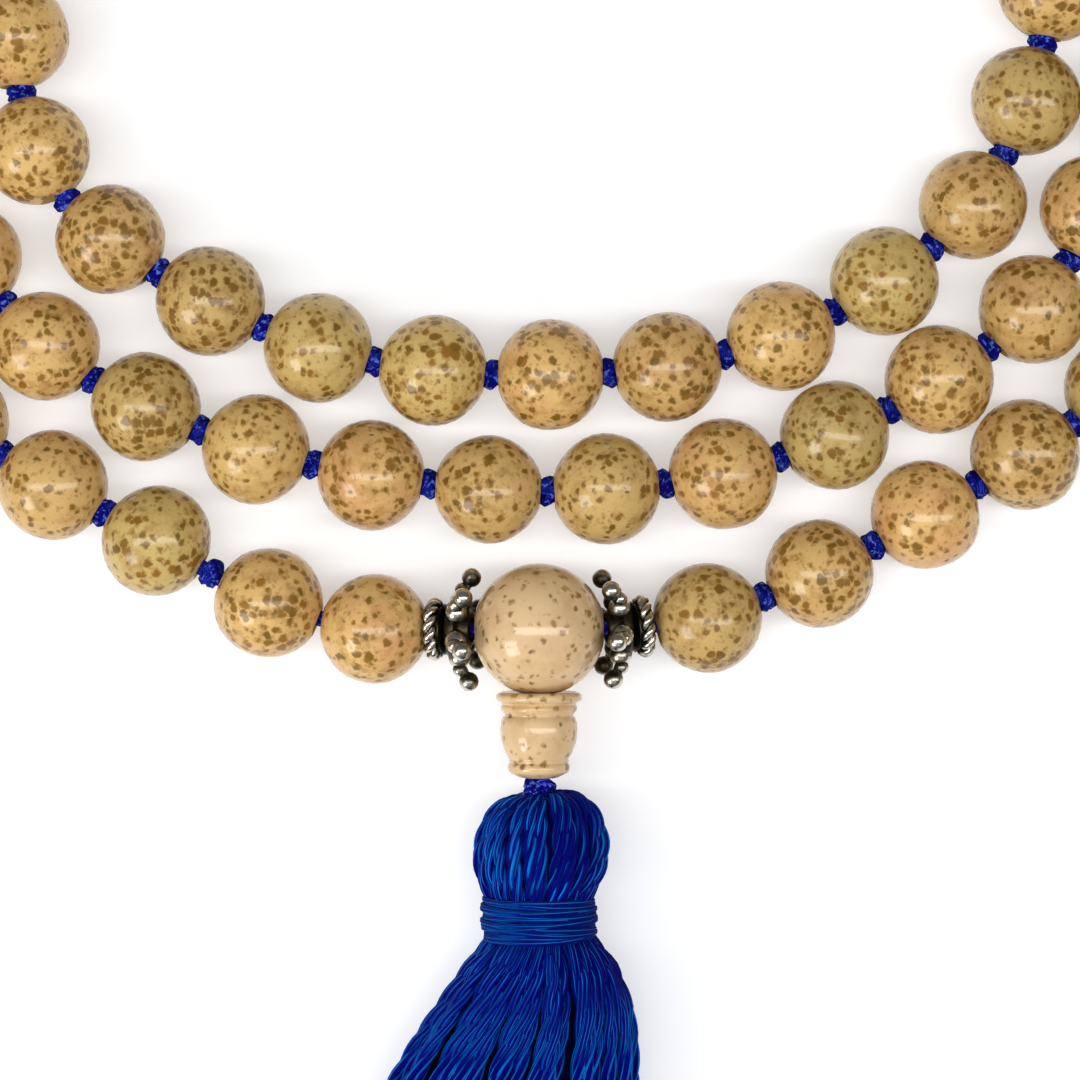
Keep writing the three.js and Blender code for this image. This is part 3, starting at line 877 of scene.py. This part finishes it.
class MALA_OT_cord(bpy.types.Operator):
    """Make the braided cord that runs through the beads, with a knot between each two"""

    bl_idname = "mala.cord"
    bl_label = "Knotted Cord"

    def execute(self, context):
        sizes = context.scene.mala_sizes
        cord_radius, knot_size = sizes.cord / MM / 2, sizes.knot / MM
        knots = {name: places["knots"] for name, places in STRETCH.items()}
        on_the_coil = {
            "string_outer_right": (["outer_right"], knots["outer_right"], []),
            "string_outer_left": (["outer_left"], knots["outer_left"], []),
            "string_middle": (
                ["middle_left", "front_middle", "middle_right"],
                [*knots["middle_left"], *knots["front_middle"][1:], *knots["middle_right"][1:]],
                ["middle_cord"],
            ),
            "string_inner": (["front_inner"], knots["front_inner"], ["inner_cord"]),
        }
        on_the_back = {
            f"string_{turn}": ([turn], knots[turn], [])
            for turn in ("back_outer", "back_middle", "back_crossing")
        }
        for body, cords in (("coil", on_the_coil), ("back_turns", on_the_back)):
            for name, (stretches, its_knots, replaced) in cords.items():
                lines = cord_lines(stretches, its_knots, cord_radius, knot_size)
                finish_piece(name, tubes(name, lines), body, "blue_cord", *replaced)
        lines = []
        for stretch in RUNS:
            if stretch.startswith("fold"):
                lines += cord_lines([stretch], [], cord_radius, knot_size)
        finish_piece("string_fold_row", tubes("string_fold_row", lines), "fold_row", "blue_cord")
        self.make_front_cord(cord_radius, knot_size, knots)
        return {"FINISHED"}

    def make_front_cord(self, cord_radius, knot_size, knots):
        """The cord of the front three beads on each side, on through the guru bead."""
        left = cord_lines(["front_left"], [knots["front_left"][1]], cord_radius, knot_size)
        right = cord_lines(["front_right"], knots["front_right"][1:3], cord_radius, knot_size)
        through = [STRING.at(STRING.length - along) for along in (RING_AT, STAR_AT, GURU_R, 0)]
        through += [STRING.at(along) for along in (GURU_R, STAR_AT, RING_AT)]
        whole = ([*left[0][0], *through, *right[0][0]], cord_radius, False)
        mesh = tubes("string_front", [whole, *left[1:], *right[1:]])
        finish_piece("string_front", mesh, "front_string", "blue_cord", "guru_cord")


# ---------------------------------------------------------------- guru bead and tower


def drill(mesh, cutter_shape):
    """Cuts a turned shape out of a mesh with an exact boolean."""
    piece = bpy.data.objects.new("drilled", mesh)
    cutter = bpy.data.objects.new("drill", mesh_of("drill", cutter_shape))
    for thing in (piece, cutter):
        bpy.context.scene.collection.objects.link(thing)
    cut = piece.modifiers.new("bore", "BOOLEAN")
    cut.operation = "DIFFERENCE"
    cut.solver = "EXACT"
    cut.object = cutter
    graph = bpy.context.evaluated_depsgraph_get()
    drilled = bpy.data.meshes.new_from_object(piece.evaluated_get(graph))
    for thing in (piece, cutter):
        bpy.data.objects.remove(thing)
    shape = bmesh.new()
    shape.from_mesh(drilled)
    return shape


class MALA_OT_guru_bead(bpy.types.Operator):
    """Make the guru bead, bored through for the string and down for the pendant cord"""

    bl_idname = "mala.guru_bead"
    bl_label = "Guru Bead"

    def execute(self, context):
        radius = context.scene.mala_sizes.guru / MM / 2
        ball = turned(ball_outline(radius, BORE_R, 24), 64)
        move(ball, STRING.frame(0))
        wide, end = PENDANT_BORE_R, -radius - 1
        bore = turned([(0, 0), (wide, 0), (wide, end), (0, end)], 32)
        move(bore, pendant_frame(0))
        shape = drill(mesh_of("guru_ball", ball), bore)
        put("guru", shape, Matrix(), "guru", "pale_seed", "guru_bead", math.radians(35))
        return {"FINISHED"}


class MALA_OT_tower(bpy.types.Operator):
    """Make the tower bead under the guru bead: collar ring, belly, waist and foot ring"""

    bl_idname = "mala.tower"
    bl_label = "Tower Bead"

    def execute(self, context):
        bore = PENDANT_BORE_R
        outline = [
            (bore, -5.1), (2.0, -4.85), (2.85, -4.7),
            *arc(0.36, 62, -62, 6, (2.9, -5.1)),
            (2.84, -5.5),
            *arc(0.34, 50, -60, 5, (2.56, -5.92)),
            (2.68, -6.34), (2.6, -6.42), (2.62, -6.52), (2.76, -6.62),
            (2.88, -7.0), (2.92, -7.5), (2.88, -8.1), (2.77, -8.6), (2.6, -9.1), (2.44, -9.45),
            (2.3, -9.68), (2.24, -9.78), (2.28, -9.9),
            *arc(0.52, 45, -60, 7, (1.84, -10.4)),
            (1.82, -10.98), (1.5, -11.15), (bore, -11.2),
        ]
        at = pendant_frame(0)
        put("tower_turned", turned(outline, 64), at, "tower", "pale_seed", "tower_bead", math.radians(60))
        return {"FINISHED"}


# ---------------------------------------------------------------- silver


def add_ball(shape, centre, radius):
    return bmesh.ops.create_uvsphere(
        shape, u_segments=16, v_segments=10, radius=radius, matrix=Matrix.Translation(centre)
    )["verts"]


class MALA_OT_star_caps(bpy.types.Operator):
    """Make the two star caps: a dark hub with six arms of silver balls, swept towards the guru bead"""

    bl_idname = "mala.star_caps"
    bl_label = "Star Caps"

    arms = 6
    reach = 4.7
    sweep = 1.8
    bar_width = 0.8
    bar_height = 0.5
    bar_round = 0.14

    def execute(self, context):
        tip = context.scene.mala_sizes.ball / MM / 2
        self.make_cap("left", -1, STRING.length - STAR_AT, LEFT_STAR_TURN, tip)
        self.make_cap("right", 1, STAR_AT, RIGHT_STAR_TURN, tip)
        return {"FINISHED"}

    def make_cap(self, word, side, along, turn, tip):
        plate = turned([
            (BORE_R, 0.62), (1.5, 0.62), (2.0, 0.5), (2.3, 0.15), (2.25, -0.25), (1.7, -0.4),
            (1.45, -0.6), (1.4, -1.2), (1.2, -1.34), (BORE_R, -1.34),
        ], 32)
        balls = bmesh.new()
        worn = balls.verts.layers.float.new("worn")
        for arm in range(self.arms):
            self.add_arm(plate, balls, worn, FULL_TURN * arm / self.arms, tip)
        face_guru = Matrix.Rotation(-turn, 4, "Y") @ Matrix.Scale(side, 4, (0, 1, 0))
        solid = f"star_cap_{word}"
        for name, shape in (("plate", plate), ("balls", balls)):
            put(f"star_{name}_{word}", shape, STRING.frame(along) @ face_guru, solid, "silver", solid)

    def on_arm(self, angle, reach, lift=0.0):
        """A point on an arm; a positive lift is away from the guru bead."""
        swept = lift - self.sweep * (reach / self.reach) ** 2
        return Vector((reach * math.cos(angle), swept, reach * math.sin(angle)))

    def add_arm(self, plate, balls, worn, angle, tip):
        """One arm: a ball at its tip and one at its root, a small one between, and the bar under them."""
        outward = Vector((math.cos(angle), 0.25, math.sin(angle))).normalized()
        at_tip, between, at_root = (self.reach - tip, 1.0, 0.1), (3.05, 0.74, 0.3), (2.1, 1.16, -0.05)
        for reach, size, lift in (at_tip, between, at_root):
            centre, radius = self.on_arm(angle, reach, lift), tip * size
            for vert in add_ball(balls, centre, radius):
                vert[worn] = 0.5 + 0.5 * (vert.co - centre).dot(outward) / radius
        bar = bmesh.ops.create_cube(plate, size=1)["verts"]
        start, end = self.on_arm(angle, 1.5, 0.15), self.on_arm(angle, self.reach - 0.55, 0.1)
        forward = (end - start).normalized()
        across = forward.cross(Vector((0, 1, 0))).normalized()
        thickness = across.cross(forward) * self.bar_height
        axes = Matrix((across * self.bar_width, forward * (end - start).length, thickness))
        at = Matrix.Translation((start + end) / 2) @ axes.transposed().to_4x4()
        bmesh.ops.transform(plate, verts=bar, matrix=at)
        edges = list({edge for vert in bar for edge in vert.link_edges})
        bmesh.ops.bevel(
            plate, geom=edges, offset=self.bar_round, affect="EDGES", segments=2, profile=0.5, material=-1
        )


class MALA_OT_rope_rings(bpy.types.Operator):
    """Make the two rope-edged rings, each round a dark barrel"""

    bl_idname = "mala.rope_rings"
    bl_label = "Rope Rings"

    hollow_to = 1.75
    hollow_to_proud = 0.6

    def execute(self, context):
        for word, side in (("left", -1), ("right", 1)):
            along = RING_AT if side > 0 else STRING.length - RING_AT
            at = STRING.frame(along)
            barrel = turned([
                (BORE_R, 0.62), (1.4, 0.62), (1.75, 0.45), (1.8, 0), (1.7, -0.6), (1.95, -0.78), (1.7, -0.94),
                (BORE_R, -0.94),
            ], 32)
            face_guru = Matrix.Scale(side, 4, (0, 1, 0))
            body = f"rope_ring_{word}"
            put(f"ring_barrel_{word}", barrel, at @ face_guru, body, "silver", body)
            name = f"ring_rope_{word}"
            rope = tubes(name, self.strands(at), 8)
            to_ring = (TO_MODEL @ at).inverted()
            reaches = [Vector((*(to_ring @ vert.co).xz, 0)).length for vert in rope.vertices]
            worn = [(reach - self.hollow_to) / self.hollow_to_proud for reach in reaches]
            add_attribute(rope, "worn", worn)
            finish_piece(name, rope, body, "silver", body)
        return {"FINISHED"}

    def strands(self, at):
        """Two wires twisted round each other and bent into a ring."""
        middle, wire_at, wire_radius, twists, steps = 1.9, 0.24, 0.28, 7, 112
        lines = []
        for wire in range(2):
            points = []
            for i in range(steps):
                round_ring = FULL_TURN * i / steps
                twist = twists * round_ring + math.pi * wire
                reach = middle + wire_at * math.cos(twist)
                across = 1.15 * wire_at * math.sin(twist)
                point = Vector((reach * math.cos(round_ring), across, reach * math.sin(round_ring)))
                points.append(at @ point)
            lines.append((points, wire_radius, True))
        return lines


# ---------------------------------------------------------------- pendant cord and tie


class MALA_OT_tie(bpy.types.Operator):
    """Make the pendant cord through the tower and the knot that holds the tassel"""

    bl_idname = "mala.tie"
    bl_label = "Pendant Cord and Tie"

    cord_radius = 0.78
    twist = 5.0
    knot = 2.75

    def execute(self, context):
        top, bottom = -CORD_R - 0.3, -11.25
        steps = 40
        points = [Vector((0, top + (bottom - top) * i / steps, GURU_Z)) for i in range(steps + 1)]
        mesh = tubes("pendant_strands", plied(points, self.cord_radius, self.twist))
        finish_piece("pendant_strands", mesh, "guru", "blue_cord", "pendant_cord")
        lines = []
        for offset, turn in ((0.35, 0.0), (-0.4, 0.9)):
            lines += knot_lines(pendant_frame(TIE_Y + offset), self.knot, turn)
        finish_piece("tie_wound", tubes("tie_wound", lines), "tie", "blue_cord", "tie_knot")
        return {"FINISHED"}


# ---------------------------------------------------------------- tassel

# Middle line of a yarn over the tassel head: how far out from the middle, and y
HEAD_LINE = [
    (0.4, -14.4), (0.8, -13.4), (1.5, -12.8), (2.6, -12.95), (3.6, -13.75), (4.3, -15.1), (4.62, -16.6),
    (4.5, -17.9), (4.1, -19.0), (3.6, -20.0), (3.35, -21.6), (3.3, -23.2),
]
HEAD_YARNS = 24
HEAD_LEAN = 0.28
WRAP_TOP, WRAP_BOTTOM = -20.0, -23.5

# The skirt's outline: y, half its width, half its height, its middle x
SKIRT_RINGS = [
    (-22.6, 3.7, 3.6, 0.1), (-23.6, 4.5, 4.4, 0.15), (-24.6, 5.3, 4.7, 0.12), (-25.8, 6.2, 4.75, 0.05),
    (-28.6, 7.75, 4.8, -0.4), (-31, 8.8, 4.75, -1.05), (-34, 9.75, 4.7, -1.95), (-38, 10.35, 4.6, -2.8),
    (-43, 10.8, 4.5, -3.7), (-52, 11.3, 4.3, -5.2), (-62, 11.8, 4.1, -6.7), (-74, 12.4, 3.8, -8.2),
    (-87, 12.9, 3.5, -9.4),
]
SKIRT_CUT = -40
SKIRT_SPREAD_SAMPLES = 720

# One yarn was cut short at the wrap, and lies askew on the others
CUT_YARN_Y = -24.2
CUT_YARN_DRIFT = 0.9

SKIRT_LAYERS = [("outer", 1.0, 1.0), ("inner", 0.76, 0.7), ("inner", 0.42, 0.34), ("inner", 0.12, 0.1)]


def head_point(reach, angle, y):
    """A point round the tassel's middle line; angle 0 faces up and a quarter turn faces right."""
    return (reach * math.sin(angle), y, GURU_Z + TASSEL_FLATTEN * reach * math.cos(angle))


class MALA_OT_tassel_head(bpy.types.Operator):
    """Make the tassel head, a bundle of yarns folded over at the top"""

    bl_idname = "mala.tassel_head"
    bl_label = "Tassel Head"

    def execute(self, context):
        radius = context.scene.mala_sizes.yarn / MM / 2
        spacing = 0.34
        chance = random.Random(21)
        lines = []
        middles = []
        for number in range(HEAD_YARNS):
            angle = FULL_TURN * number / HEAD_YARNS + chance.uniform(-0.07, 0.07)
            sway = 0.45 * math.sin(angle) + chance.uniform(-0.2, 0.2)
            lift = chance.uniform(-0.3, 0.12)
            points = []
            for i, (reach, y) in enumerate(HEAD_LINE):
                share = i / (len(HEAD_LINE) - 1)
                turn = angle + sway * (0.45 - share)
                x, y, z = head_point(reach + lift * math.sin(math.pi * share), turn, y)
                lean = HEAD_LEAN * math.sin(math.pi * share)
                points.append((x + lean, y + 0.9 * lean * math.sin(turn), z))
            sampled = Line(points, 8).evenly(spacing)
            reaches = [(p - Vector((0, p.y, GURU_Z))).length for p in sampled]
            widths = [radius * min(1.0, 0.62 + 0.1 * reach) for reach in reaches]
            lines += plied(sampled, widths, chance.uniform(5.4, 7.2), 3, chance.uniform(0, FULL_TURN))
            # Yarns lifted above the others lie less deep and get less painted shade.
            middles += way_out(sampled, radius, -lift)
        mesh = tubes("head_yarns", lines, 6, middles)
        finish_piece("head_yarns", mesh, "tassel_top", "blue_yarn", "tassel_head")
        under_yarns = [(max(reach - 0.5, 0.4), y - 0.2) for reach, y in HEAD_LINE[2:]]
        make_core("head_core", [(0, -14.0), *under_yarns, (0, -23.3)], "tassel_head", HEAD_LEAN / 2)
        return {"FINISHED"}


def make_core(name, outline, solid, shift=0.0):
    """A plain core under a layer of yarn or thread, flattened like the tassel."""
    flatten = Matrix.Diagonal((1, 1, TASSEL_FLATTEN, 1))
    at = pendant_frame(0) @ Matrix.Translation((shift, 0, 0)) @ flatten
    put(name, turned(outline, 40), at, "tassel_top", "blue_yarn", solid)


def way_out(points, radius, depth=0.0):
    """For points of a yarn in the head: the way out of the bundle, over the yarn's width, and its depth, by
    which its shade is painted.
    """
    middles = []
    for point in points:
        outward = Vector((point.x, max(0.0, point.y + 15.5), point.z - GURU_Z)).normalized()
        middles.append((point, outward / (2.2 * radius), 0.5 + depth))
    return middles


class MALA_OT_tassel_wrap(bpy.types.Operator):
    """Make the fine thread wound round the tassel's neck"""

    bl_idname = "mala.tassel_wrap"
    bl_label = "Tassel Wrap"

    def execute(self, context):
        chance = random.Random(7)
        thread, reach = 0.23, 4.0
        turns, crossing_strands = 15, 7
        lines = []
        for turn in range(turns):
            share = (turn + 0.5) / turns
            start = WRAP_TOP - thread + (WRAP_BOTTOM - WRAP_TOP + 2 * thread) * share
            slope = chance.uniform(-0.22, 0.22)
            phase = chance.uniform(0, FULL_TURN)
            lines.append(self.one_turn(start, slope, phase, reach + chance.uniform(-0.04, 0.12), thread))
        for _ in range(crossing_strands):
            start = chance.uniform(-20.7, -22.8)
            slope = chance.uniform(-0.75, 0.75)
            phase = chance.uniform(0, FULL_TURN)
            lines.append(self.one_turn(start, slope, phase, reach + 0.24, thread * 0.85))
        mesh = tubes("wrap_thread", lines)
        finish_piece("wrap_thread", mesh, "tassel_top", "blue_yarn", "tassel_wrap")
        top = [(3.45, WRAP_TOP), (3.9, WRAP_TOP - 0.15)]
        bottom = [(3.9, WRAP_BOTTOM + 0.15), (3.45, WRAP_BOTTOM)]
        make_core("wrap_bed", [*top, (4.05, -21.8), *bottom], "tassel_wrap")
        return {"FINISHED"}

    def one_turn(self, y, slope, phase, reach, thread):
        """One turn of the thread, meeting itself at the back."""
        steps = 64
        highest, lowest = WRAP_TOP - 0.1, WRAP_BOTTOM + 0.1
        points = []
        for i in range(steps + 1):
            angle = FULL_TURN * (i / steps - 0.5)
            out = reach + 0.05 * math.sin(3 * angle + phase)
            height = y + slope * math.sin(angle) + 0.07 * math.sin(2 * angle + phase)
            points.append(head_point(out, angle, min(highest, max(lowest, height))))
        return (points, thread, False)


def skirt_section(y):
    """Half the width, half the height and the middle of the skirt at a place down it."""
    ys = [-ring[0] for ring in SKIRT_RINGS]
    return [float(np.interp(-y, ys, [ring[k] for ring in SKIRT_RINGS])) for k in (1, 2, 3)]


def evenly_round(count, chance):
    """Angles that space yarns about evenly round the flattened skirt, a little uneven."""
    width, height = 8.5, 4.6
    angles = [FULL_TURN * i / SKIRT_SPREAD_SAMPLES for i in range(SKIRT_SPREAD_SAMPLES + 1)]
    steps = [math.hypot(width * math.cos(a), height * math.sin(a)) for a in angles[1:]]
    gone = np.concatenate([[0.0], np.cumsum(steps)])
    wanted = [(number + chance.uniform(-0.35, 0.35)) / count for number in range(count)]
    return [float(np.interp(share % 1.0, gone / gone[-1], angles)) for share in wanted]


class MALA_OT_tassel_skirt(bpy.types.Operator):
    """Make the skirt of twisted yarns, in two pieces down its length"""

    bl_idname = "mala.tassel_skirt"
    bl_label = "Tassel Skirt"

    def execute(self, context):
        sizes = context.scene.mala_sizes
        radius = sizes.yarn / MM / 2
        chance = random.Random(84)
        lines = {(part, layer): [] for part in ("upper", "lower") for layer in ("outer", "inner")}
        middles = {place: [] for place in lines}
        for layer, depth, share in SKIRT_LAYERS:
            count = round(sizes.skirt_yarns * share)
            for angle in evenly_round(count, chance):
                self.add_yarn(lines, middles, layer, angle, depth, radius, chance)
        self.add_yarn(lines, middles, "outer", 0.1, 1.1, radius, chance, CUT_YARN_Y, CUT_YARN_DRIFT)
        for part, first, second, start_y, end_y in (
            ("upper", "tassel_top", "skirt_upper", -24.4, -34),
            ("lower", "skirt_upper", "skirt_lower", -46, -60),
        ):
            for layer in ("outer", "inner"):
                name = f"skirt_yarns_{part}_{layer}"
                mesh = tubes(name, lines[part, layer], 6 if layer == "outer" else 4, middles[part, layer])
                piece = finish_piece(name, mesh, None, "blue_yarn", f"tassel_skirt_{part}")
                start = place(skirt_section(start_y)[2], start_y, GURU_Z)
                end = place(skirt_section(end_y)[2], end_y, GURU_Z)
                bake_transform(piece)
        return {"FINISHED"}

    def add_yarn(
        self, lines, middles, layer, angle, depth, radius, chance, y=SKIRT_RINGS[0][0], drift=None
    ):
        """One yarn's plies, cut in two at the same ring for both parts of the skirt."""
        if drift is None:
            drift = chance.uniform(-0.22, 0.22)
        wave, wave_phase = chance.uniform(0.01, 0.035), chance.uniform(0, FULL_TURN)
        rise = chance.uniform(-0.1, 0.05)
        end = chance.uniform(-86.4, -84.0) if depth > 0.9 else chance.uniform(-86, -80)
        points = []
        outs = []
        step = 0.5
        while y > end:
            gone = (y - SKIRT_RINGS[0][0]) / (SKIRT_RINGS[-1][0] - SKIRT_RINGS[0][0])
            half_width, half_height, middle = skirt_section(y)
            turn = angle + drift * gone + wave * math.sin(gone * 16 + wave_phase)
            reach = depth + rise * math.sin(math.pi * min(1.0, gone * 1.6))
            x = middle + (half_width - radius) * reach * math.sin(turn)
            z = half_height + (half_height - radius) * reach * math.cos(turn)
            points.append(Vector((x, y, max(z, radius * 1.02))))
            outward = Vector((math.sin(turn) / half_width, 0, math.cos(turn) / half_height)).normalized()
            # Yarns of the inner layers lie deeper, so the thread finish paints them in shade.
            outs.append((outward / (2.2 * radius), 0.5 + 3.5 * (1 - reach)))
            y -= step
        widths = [radius * min(1.0, 0.72 + 0.05 * i) for i in range(len(points))]
        cut = next(i for i, p in enumerate(points) if p.y <= SKIRT_CUT)
        count = 3 if layer == "outer" else 2
        plies = plied(points, widths, chance.uniform(6.2, 8.6), count, chance.uniform(0, FULL_TURN))
        for part, span in (("upper", slice(0, cut + 1)), ("lower", slice(cut, None))):
            lines[part, layer] += [(places[span], radii[span], closes) for places, radii, closes in plies]
            middles[part, layer] += [(point, *out) for point, out in zip(points[span], outs[span])]


# ---------------------------------------------------------------- stage


class MALA_OT_stage(bpy.types.Operator):
    """Make the pale floor, the soft lights and the camera that looks straight down"""

    bl_idname = "mala.stage"
    bl_label = "Stage"

    def execute(self, context):
        scene = context.scene
        shape = bmesh.new()
        bmesh.ops.create_grid(shape, x_segments=1, y_segments=1, size=3)
        floor = bpy.data.objects.new("floor", mesh_of("floor", shape))
        scene.collection.objects.link(floor)
        finish = Finish("pale_floor", roughness=0.9, specular_ior_level=0.0, emission_strength=0.4)
        finish.set(emission_color=(1, 1, 1, 1))
        cloud = finish.noise(finish.place(), 0.02, 2.0)
        pale = finish.mix(cloud, (0.635, 0.645, 0.665), (0.655, 0.66, 0.675))
        floor.data.materials.append(finish.set(base_color=pale))
        self.add_lights(scene)
        self.add_camera(scene)
        return {"FINISHED"}

    def add_lights(self, scene):
        world = bpy.data.worlds.new("soft_room")
        world.use_nodes = True
        world.node_tree.nodes["Background"].inputs["Color"].default_value = (0.97, 0.98, 1.0, 1)
        world.node_tree.nodes["Background"].inputs["Strength"].default_value = 0.15
        scene.world = world
        target = place(0, 6, 5)
        self.add_light("strip", (0.8, 0.085), 1.55, target, (0.03, -0.015, 0.36))
        self.add_light("overhead", (1.0, 1.0), 1.2, target, (-0.05, -0.35, 0.78))
        self.add_light("window", (0.19, 0.19), 1.0, target, (-0.32, -0.23, 0.24))

    def add_light(self, name, size, power, target, offset):
        light = bpy.data.lights.new(name, "AREA")
        light.shape = "RECTANGLE"
        light.size, light.size_y = size
        light.energy = power
        lamp = bpy.data.objects.new(name, light)
        back = Vector(offset).normalized()
        side = Vector((0, 1, 0)).cross(back).normalized()
        axes = Matrix((side, back.cross(side), back)).transposed().to_4x4()
        lamp.matrix_world = Matrix.Translation(target + Vector(offset)) @ axes
        bpy.context.scene.collection.objects.link(lamp)

    def add_camera(self, scene):
        framed_width = 81.5
        lens = 100
        camera = bpy.data.cameras.new("from_above")
        camera.lens = lens
        camera.sensor_width = 36
        height = framed_width * lens / camera.sensor_width
        rig = bpy.data.objects.new("from_above", camera)
        rig.location = place(0.08, 6.75, GURU_Z + height)
        scene.collection.objects.link(rig)
        camera.clip_start, camera.clip_end = 0.01, 10
        scene.camera = rig
        scene.view_settings.view_transform = "Standard"


# ---------------------------------------------------------------- panel and registration


class MALA_PT_panel(bpy.types.Panel):
    """Sizes, colours and pieces of the mala"""

    bl_label = "Knotted Mala"
    bl_idname = "MALA_PT_panel"
    bl_space_type = "VIEW_3D"
    bl_region_type = "UI"
    bl_category = "Mala"

    def draw(self, context):
        layout = self.layout
        for group in (context.scene.mala_sizes, context.scene.mala_colours):
            box = layout.box()
            for name in group.__annotations__:
                box.prop(group, name)
        for maker in MAKERS:
            layout.operator(maker.bl_idname)


MAKERS = (
    MALA_OT_seed_beads,
    MALA_OT_cord,
    MALA_OT_guru_bead,
    MALA_OT_tower,
    MALA_OT_star_caps,
    MALA_OT_rope_rings,
    MALA_OT_tie,
    MALA_OT_tassel_head,
    MALA_OT_tassel_wrap,
    MALA_OT_tassel_skirt,
    MALA_OT_stage,
)
CLASSES = (MalaSizes, MalaColours, *MAKERS, MALA_PT_panel)


def register():
    for made in CLASSES:
        bpy.utils.register_class(made)
    bpy.types.Scene.mala_sizes = bpy.props.PointerProperty(type=MalaSizes)
    bpy.types.Scene.mala_colours = bpy.props.PointerProperty(type=MalaColours)


def unregister():
    del bpy.types.Scene.mala_colours
    del bpy.types.Scene.mala_sizes
    for made in reversed(CLASSES):
        bpy.utils.unregister_class(made)


def main():
    register()
    make_finishes(bpy.context.scene.mala_colours)
    bpy.ops.mala.seed_beads()
    bpy.ops.mala.cord()
    bpy.ops.mala.guru_bead()
    bpy.ops.mala.tower()
    bpy.ops.mala.star_caps()
    bpy.ops.mala.rope_rings()
    bpy.ops.mala.tie()
    bpy.ops.mala.tassel_head()
    bpy.ops.mala.tassel_wrap()
    bpy.ops.mala.tassel_skirt()
    bpy.ops.mala.stage()


if __name__ == "__main__":
    main()
